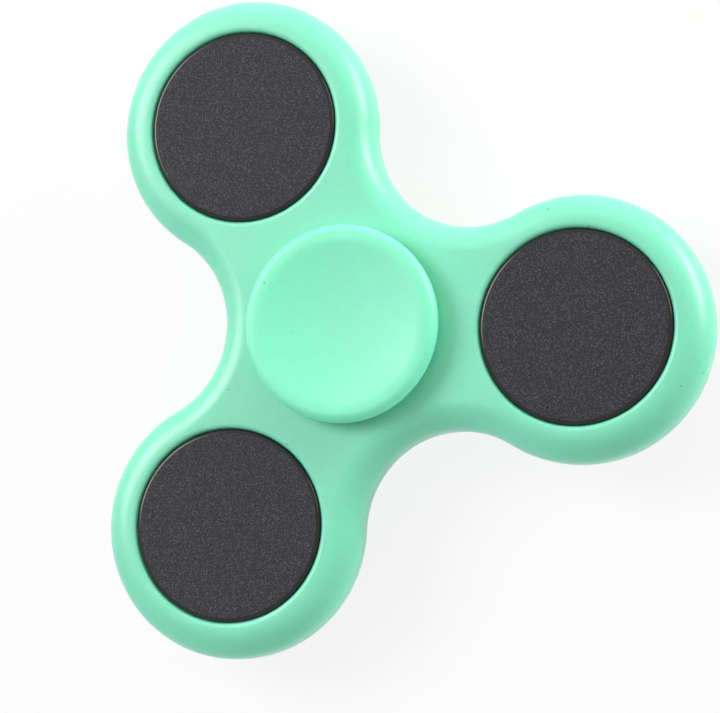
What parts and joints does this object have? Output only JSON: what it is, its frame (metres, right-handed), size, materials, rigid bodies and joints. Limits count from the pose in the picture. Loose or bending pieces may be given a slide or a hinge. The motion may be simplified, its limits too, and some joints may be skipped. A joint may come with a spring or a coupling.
{
  "type": "fidget spinner",
  "caption": "Flat tri-lobe hand spinner: a rounded moulded body with capped round weights turns freely on a shielded ball bearing held between two dished finger caps.",
  "frame": {"origin": "on the spin axis, in the middle plane of the body", "axes": "+Z along the spin axis, out of the front cap; +X through the middle of lobe 1"},
  "size_m": [0.0698, 0.076, 0.014],
  "materials": {
    "mint_plastic": "satin moulded",
    "black_plastic": "fine grained",
    "ring_steel": "ground",
    "ball_steel": "polished",
    "cage_steel": "pressed sheet",
    "shield_steel": "pressed sheet",
    "weight_steel": "turned"
  },
  "bodies": {
    "hub": {"front_cap": "mint_plastic", "rear_cap": "mint_plastic", "bearing_inner_ring": "ring_steel"},
    "rotor": {"body": "mint_plastic", "bearing_outer_ring": "ring_steel", "bearing_shield_front": "shield_steel", "bearing_shield_rear": "shield_steel", "counterweight_1": "weight_steel", "counterweight_2": "weight_steel", "counterweight_3": "weight_steel", "weight_cover_front_1": "black_plastic", "weight_cover_front_2": "black_plastic", "weight_cover_front_3": "black_plastic", "weight_cover_rear_1": "black_plastic", "weight_cover_rear_2": "black_plastic", "weight_cover_rear_3": "black_plastic"},
    "cage": {"cage_front_half": "cage_steel", "cage_rear_half": "cage_steel", "cage_rivets": "cage_steel"},
    "ball_1": {"ball_1": "ball_steel"},
    "ball_2": {"ball_2": "ball_steel"},
    "ball_3": {"ball_3": "ball_steel"},
    "ball_4": {"ball_4": "ball_steel"},
    "ball_5": {"ball_5": "ball_steel"},
    "ball_6": {"ball_6": "ball_steel"},
    "ball_7": {"ball_7": "ball_steel"}
  },
  "joints": [
    {"name": "rotor_spin", "type": "hinge", "parent": "hub", "child": "rotor", "pos_m": [0, 0, 0], "axis": [0, 0, 1], "continuous": true},
    {"name": "cage_orbit", "type": "hinge", "parent": "hub", "child": "cage", "pos_m": [0, 0, 0], "axis": [0, 0, 1], "continuous": true},
    {"name": "ball_1_roll", "type": "hinge", "parent": "cage", "child": "ball_1", "pos_m": [0.0075, 0, -0.0003], "axis": [0, 0, 1], "continuous": true},
    {"name": "ball_2_roll", "type": "hinge", "parent": "cage", "child": "ball_2", "pos_m": [0.00468, 0.00586, -0.0003], "axis": [0, 0, 1], "continuous": true},
    {"name": "ball_3_roll", "type": "hinge", "parent": "cage", "child": "ball_3", "pos_m": [-0.00167, 0.00731, -0.0003], "axis": [0, 0, 1], "continuous": true},
    {"name": "ball_4_roll", "type": "hinge", "parent": "cage", "child": "ball_4", "pos_m": [-0.00676, 0.00325, -0.0003], "axis": [0, 0, 1], "continuous": true},
    {"name": "ball_5_roll", "type": "hinge", "parent": "cage", "child": "ball_5", "pos_m": [-0.00676, -0.00325, -0.0003], "axis": [0, 0, 1], "continuous": true},
    {"name": "ball_6_roll", "type": "hinge", "parent": "cage", "child": "ball_6", "pos_m": [-0.00167, -0.00731, -0.0003], "axis": [0, 0, 1], "continuous": true},
    {"name": "ball_7_roll", "type": "hinge", "parent": "cage", "child": "ball_7", "pos_m": [0.00468, -0.00586, -0.0003], "axis": [0, 0, 1], "continuous": true}
  ],
  "couplings": [
    {"joint": "cage_orbit", "follows": "rotor_spin", "ratio": 0.6323},
    {"joint": "ball_1_roll", "follows": "rotor_spin", "ratio": 1.7573},
    {"joint": "ball_2_roll", "follows": "rotor_spin", "ratio": 1.7573},
    {"joint": "ball_3_roll", "follows": "rotor_spin", "ratio": 1.7573},
    {"joint": "ball_4_roll", "follows": "rotor_spin", "ratio": 1.7573},
    {"joint": "ball_5_roll", "follows": "rotor_spin", "ratio": 1.7573},
    {"joint": "ball_6_roll", "follows": "rotor_spin", "ratio": 1.7573},
    {"joint": "ball_7_roll", "follows": "rotor_spin", "ratio": 1.7573}
  ]
}
